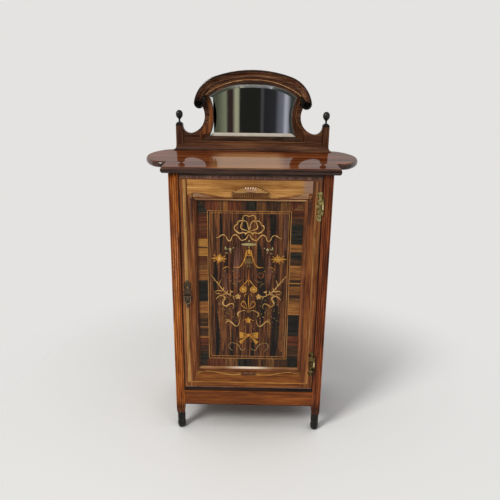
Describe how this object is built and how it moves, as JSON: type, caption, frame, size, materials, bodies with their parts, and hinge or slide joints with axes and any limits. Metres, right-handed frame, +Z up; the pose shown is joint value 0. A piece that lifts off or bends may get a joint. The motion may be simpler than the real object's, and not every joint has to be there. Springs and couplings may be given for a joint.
{
  "type": "music cabinet",
  "caption": "Tall framed music cabinet on turned feet, with a hinged inlaid door, shelves, a lobed top board and a mirrored upstand under an arched hood.",
  "frame": {"origin": "on the floor below the middle of the cabinet's overall box", "axes": "+Z up, +X to the right as seen from the front, +Y from the front to the back"},
  "size_m": [0.754, 0.373, 1.3],
  "materials": {
    "rosewood_post": "french polished",
    "ebonised": "ebonised, polished",
    "inner_wood": "plain, oiled",
    "polished_top": "french polished, high gloss",
    "door_frame": "french polished",
    "inlaid_panel": "veneered and inlaid, polished",
    "carving": "polished",
    "mirror": "bevelled plate glass, silvered",
    "brass": "aged lacquered brass",
    "steel": "bright",
    "bronze": "dark bronzed brass"
  },
  "bodies": {
    "carcase": {"front_post_left": "rosewood_post", "front_post_right": "rosewood_post", "rear_post_left": "rosewood_post", "rear_post_right": "rosewood_post", "side_top_rail_left": "rosewood_post", "side_top_rail_right": "rosewood_post", "side_bottom_rail_left": "rosewood_post", "side_bottom_rail_right": "rosewood_post", "side_panel_left": "rosewood_post", "side_panel_right": "rosewood_post", "front_bottom_rail": "rosewood_post", "foot_front_left": "ebonised", "foot_front_right": "ebonised", "foot_rear_left": "ebonised", "foot_rear_right": "ebonised", "bottom_bead": "ebonised", "finial_left": "ebonised", "finial_right": "ebonised", "hood_moulding": "ebonised", "front_top_rail": "inner_wood", "rear_top_rail": "inner_wood", "rear_bottom_rail": "inner_wood", "back_panel": "inner_wood", "bottom_board": "inner_wood", "shelf_1": "inner_wood", "shelf_2": "inner_wood", "shelf_3": "inner_wood", "shelf_4": "inner_wood", "shelf_5": "inner_wood", "shelf_bearers": "inner_wood", "glue_blocks": "inner_wood", "upstand_dowels": "inner_wood", "mirror_backboard": "inner_wood", "top_board": "polished_top", "upstand_plinth": "polished_top", "upstand_board": "polished_top", "upstand_post_left": "polished_top", "upstand_post_right": "polished_top", "mirror_glass": "mirror", "hinge_leaf_upper": "brass", "hinge_leaf_lower": "brass", "hinge_pins": "brass", "strike_plate": "brass", "backboard_screws": "brass"},
    "door": {"door_stile_lock": "door_frame", "door_stile_hinge": "door_frame", "door_rail_top": "door_frame", "door_rail_bottom": "door_frame", "door_panel": "inlaid_panel", "door_moulding": "carving", "door_fan": "carving", "door_corner_carvings": "carving", "door_scroll_carving": "carving", "hinge_plate_upper": "brass", "hinge_plate_lower": "brass", "hinge_screws": "brass", "lock_case": "brass", "escutcheon": "bronze"},
    "lock_bolt": {"lock_bolt": "steel"},
    "drop_handle": {"drop_handle": "bronze"}
  },
  "joints": [
    {"name": "door_hinge", "type": "hinge", "parent": "carcase", "child": "door", "pos_m": [0.23725, -0.1721, 0.5835], "axis": [0, 0, 1], "range_deg": [0, 170]},
    {"name": "bolt_throw", "type": "slide", "parent": "door", "child": "lock_bolt", "axis": [-1, 0, 0], "range_m": [0, 0.008]},
    {"name": "handle_swing", "type": "hinge", "parent": "door", "child": "drop_handle", "pos_m": [-0.2165, -0.1741, 0.552], "axis": [-1, 0, 0], "range_deg": [0, 100]}
  ]
}
